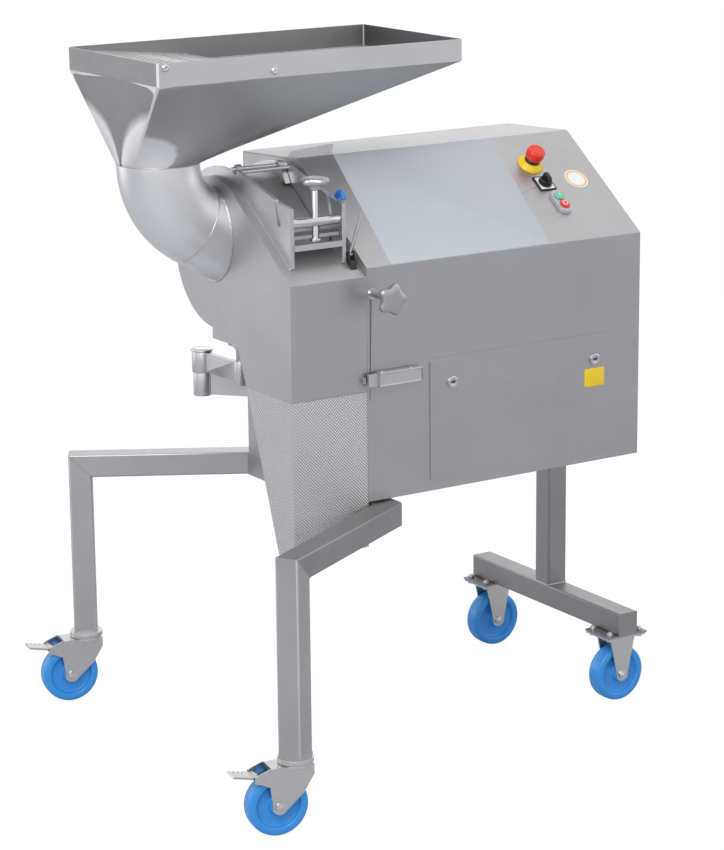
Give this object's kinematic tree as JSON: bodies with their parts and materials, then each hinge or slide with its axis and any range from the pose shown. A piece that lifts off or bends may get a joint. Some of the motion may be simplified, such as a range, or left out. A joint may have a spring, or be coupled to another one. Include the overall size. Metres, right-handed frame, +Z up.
{
  "type": "dicing machine",
  "caption": "Mobile stainless dicing machine with a rectangular feed hopper, pipe bend, round cutting casing with discharge chute and a sloped-panel drive housing on a castor stand.",
  "frame": {"origin": "centre of the floor plan's bounding box, on the floor under the wheels", "axes": "+X from the feed side towards the drive housing's end, +Y from the control side to the back, +Z up"},
  "size_m": [1.1844, 1.0066, 1.472],
  "materials": {
    "steel": "bead-blasted stainless steel",
    "bright_steel": "turned or ground stainless steel",
    "zinc_steel": "pressed and plated steel sheet",
    "blue_tread": "smooth blue elastic tread and hub",
    "black_plastic": "satin black plastic",
    "belt_rubber": "matt black belt",
    "motor_paint": "grey paint",
    "yellow_plastic": "gloss yellow",
    "red_plastic": "gloss red",
    "green_plastic": "gloss green"
  },
  "bodies": {
    "stand": {"front_leg": "steel", "back_leg": "steel", "front_beam": "steel", "back_beam": "steel", "cross_tube": "steel", "rear_post": "steel", "rear_foot": "steel", "front_castor_head": "zinc_steel", "back_castor_head": "zinc_steel", "front_fixed_bracket": "zinc_steel", "back_fixed_bracket": "zinc_steel", "housing_shell": "steel", "housing_pan": "steel", "bulkhead": "steel", "motor": "motor_paint", "main_belt": "belt_rubber", "knife_belt": "belt_rubber", "slicing_drum": "bright_steel", "slicing_knife": "bright_steel", "chute": "steel", "hinge_bracket": "steel", "latch_base": "bright_steel", "estop_collar": "yellow_plastic", "selector_plate": "black_plastic", "button_bezel": "black_plastic", "top_flap": "steel"},
    "front_castor": {"front_castor_fork": "zinc_steel"},
    "front_caster_wheel": {"front_swivel_wheel": "blue_tread"},
    "front_pedal": {"front_brake_pedal": "zinc_steel"},
    "back_castor": {"back_castor_fork": "zinc_steel"},
    "back_caster_wheel": {"back_swivel_wheel": "blue_tread"},
    "back_pedal": {"back_brake_pedal": "zinc_steel"},
    "front_fixed_roller": {"front_fixed_wheel": "blue_tread"},
    "back_fixed_roller": {"back_fixed_wheel": "blue_tread"},
    "arm": {"hinge_arm": "steel"},
    "cutting_casing": {"casing": "steel", "feed_pipe": "steel", "hopper": "steel", "finger_guard": "steel", "gate_frame": "steel", "lever_boot": "black_plastic"},
    "gate_lid": {"gate": "steel"},
    "swing_bar": {"crossbar": "bright_steel"},
    "spindle": {"clamp_spindle": "bright_steel"},
    "spindle_grip": {"spindle_knob": "bright_steel"},
    "lever": {"release_lever": "bright_steel"},
    "rotor": {"main_shaft": "bright_steel", "impeller": "bright_steel"},
    "disc_knives": {"disc_spindle": "bright_steel"},
    "crosscut_knives": {"crosscut_spindle": "bright_steel"},
    "motor_rotor": {"motor_shaft": "bright_steel"},
    "access_door": {"door": "steel"},
    "left_door_lock": {"left_lock": "bright_steel"},
    "right_door_lock": {"right_lock": "bright_steel"},
    "estop": {"estop_button": "red_plastic"},
    "start": {"start_button": "green_plastic"},
    "stop": {"stop_button": "red_plastic"},
    "selector": {"selector_knob": "black_plastic"},
    "clamp": {"clamp_knob": "bright_steel"},
    "latch": {"latch_handle": "bright_steel"}
  },
  "joints": [
    {"name": "front_castor_turn", "type": "hinge", "parent": "stand", "child": "front_castor", "pos_m": [-0.45511, -0.4673, 0.15], "axis": [0, 0, 1], "continuous": true},
    {"name": "front_castor_roll", "type": "hinge", "parent": "front_castor", "child": "front_caster_wheel", "pos_m": [-0.49634, -0.45929, 0.0625], "axis": [0.1908, 0.9816, 0], "continuous": true},
    {"name": "front_pedal_press", "type": "hinge", "parent": "front_castor", "child": "front_pedal", "pos_m": [-0.53757, -0.45127, 0.123], "axis": [0.1908, 0.9816, 0], "range_deg": [-12, 0]},
    {"name": "back_castor_turn", "type": "hinge", "parent": "stand", "child": "back_castor", "pos_m": [-0.43011, 0.4587, 0.15], "axis": [0, 0, 1], "continuous": true},
    {"name": "back_castor_roll", "type": "hinge", "parent": "back_castor", "child": "back_caster_wheel", "pos_m": [-0.47134, 0.46671, 0.0625], "axis": [0.1908, 0.9816, 0], "continuous": true},
    {"name": "back_pedal_press", "type": "hinge", "parent": "back_castor", "child": "back_pedal", "pos_m": [-0.51257, 0.47473, 0.123], "axis": [0.1908, 0.9816, 0], "range_deg": [-12, 0]},
    {"name": "front_fixed_roll", "type": "hinge", "parent": "stand", "child": "front_fixed_roller", "pos_m": [0.52974, -0.21495, 0.0625], "axis": [0, 1, 0], "continuous": true},
    {"name": "back_fixed_roll", "type": "hinge", "parent": "stand", "child": "back_fixed_roller", "pos_m": [0.52974, 0.25205, 0.0625], "axis": [0, 1, 0], "continuous": true},
    {"name": "arm_swing", "type": "hinge", "parent": "stand", "child": "arm", "pos_m": [-0.29826, 0.14155, 0.808], "axis": [0, 0, 1], "range_deg": [-90, 0]},
    {"name": "casing_swing", "type": "hinge", "parent": "arm", "child": "cutting_casing", "pos_m": [-0.28826, 0.00055, 0.808], "axis": [0, 0, 1], "range_deg": [0, 63]},
    {"name": "gate_lift", "type": "hinge", "parent": "cutting_casing", "child": "gate_lid", "pos_m": [-0.23026, 0.00855, 1.228], "axis": [1, 0, 0], "range_deg": [-2.43, 0]},
    {"name": "crossbar_swing", "type": "hinge", "parent": "cutting_casing", "child": "swing_bar", "pos_m": [-0.23026, -0.20445, 1.146], "axis": [1, 0, 0], "range_deg": [-60, 0]},
    {"name": "spindle_travel", "type": "slide", "parent": "swing_bar", "child": "spindle", "axis": [0, 0, 1], "range_m": [0, 0.009]},
    {"name": "spindle_knob_turn", "type": "hinge", "parent": "spindle", "child": "spindle_grip", "pos_m": [-0.23026, -0.20445, 1.222], "axis": [0, 0, 1], "range_deg": [0, 1080]},
    {"name": "lever_tilt", "type": "hinge", "parent": "cutting_casing", "child": "lever", "pos_m": [-0.15526, -0.21545, 1.074], "axis": [1, 0, 0], "range_deg": [-10, 10]},
    {"name": "rotor_spin", "type": "hinge", "parent": "stand", "child": "rotor", "pos_m": [-0.11826, 0.05055, 1.054], "axis": [1, 0, 0], "continuous": true},
    {"name": "disc_spin", "type": "hinge", "parent": "stand", "child": "disc_knives", "pos_m": [-0.11826, -0.14445, 0.918], "axis": [1, 0, 0], "continuous": true},
    {"name": "crosscut_spin", "type": "hinge", "parent": "stand", "child": "crosscut_knives", "pos_m": [-0.11826, -0.14445, 1.013], "axis": [1, 0, 0], "continuous": true},
    {"name": "motor_spin", "type": "hinge", "parent": "stand", "child": "motor_rotor", "pos_m": [-0.11826, -0.00945, 0.7], "axis": [1, 0, 0], "continuous": true},
    {"name": "door_pull", "type": "slide", "parent": "stand", "child": "access_door", "axis": [0, -1, 0], "range_m": [0, 0.15]},
    {"name": "left_lock_turn", "type": "hinge", "parent": "access_door", "child": "left_door_lock", "pos_m": [0.06774, -0.24945, 0.789], "axis": [0, 1, 0], "range_deg": [0, 90]},
    {"name": "right_lock_turn", "type": "hinge", "parent": "access_door", "child": "right_door_lock", "pos_m": [0.43374, -0.24945, 0.789], "axis": [0, -1, 0], "range_deg": [0, 90]},
    {"name": "estop_press", "type": "slide", "parent": "stand", "child": "estop", "axis": [0, 0.5845, -0.8114], "range_m": [0, 0.006], "stiffness_N_per_m": 800},
    {"name": "start_press", "type": "slide", "parent": "stand", "child": "start", "axis": [0, 0.5845, -0.8114], "range_m": [0, 0.002], "stiffness_N_per_m": 600},
    {"name": "stop_press", "type": "slide", "parent": "stand", "child": "stop", "axis": [0, 0.5845, -0.8114], "range_m": [0, 0.002], "stiffness_N_per_m": 600},
    {"name": "selector_turn", "type": "hinge", "parent": "stand", "child": "selector", "pos_m": [0.40274, -0.12028, 1.16053], "axis": [0, -0.5845, 0.8114], "range_deg": [-45, 45]},
    {"name": "clamp_knob_turn", "type": "hinge", "parent": "stand", "child": "clamp", "pos_m": [-0.12526, -0.30945, 0.995], "axis": [0, 1, 0], "range_deg": [-720, 0]},
    {"name": "latch_swing", "type": "hinge", "parent": "stand", "child": "latch", "pos_m": [-0.01926, -0.25895, 0.821], "axis": [0, 0, 1], "range_deg": [0, 100]}
  ],
  "couplings": [
    {"joint": "casing_swing", "follows": "arm_swing", "ratio": -0.7},
    {"joint": "spindle_knob_turn", "follows": "spindle_travel", "rad_per_m": 2094.4},
    {"joint": "gate_lift", "follows": "spindle_travel", "rad_per_m": -4.7},
    {"joint": "disc_spin", "follows": "rotor_spin", "ratio": 2.6923},
    {"joint": "crosscut_spin", "follows": "rotor_spin", "ratio": 2.6923},
    {"joint": "motor_spin", "follows": "rotor_spin", "ratio": 2.5}
  ]
}
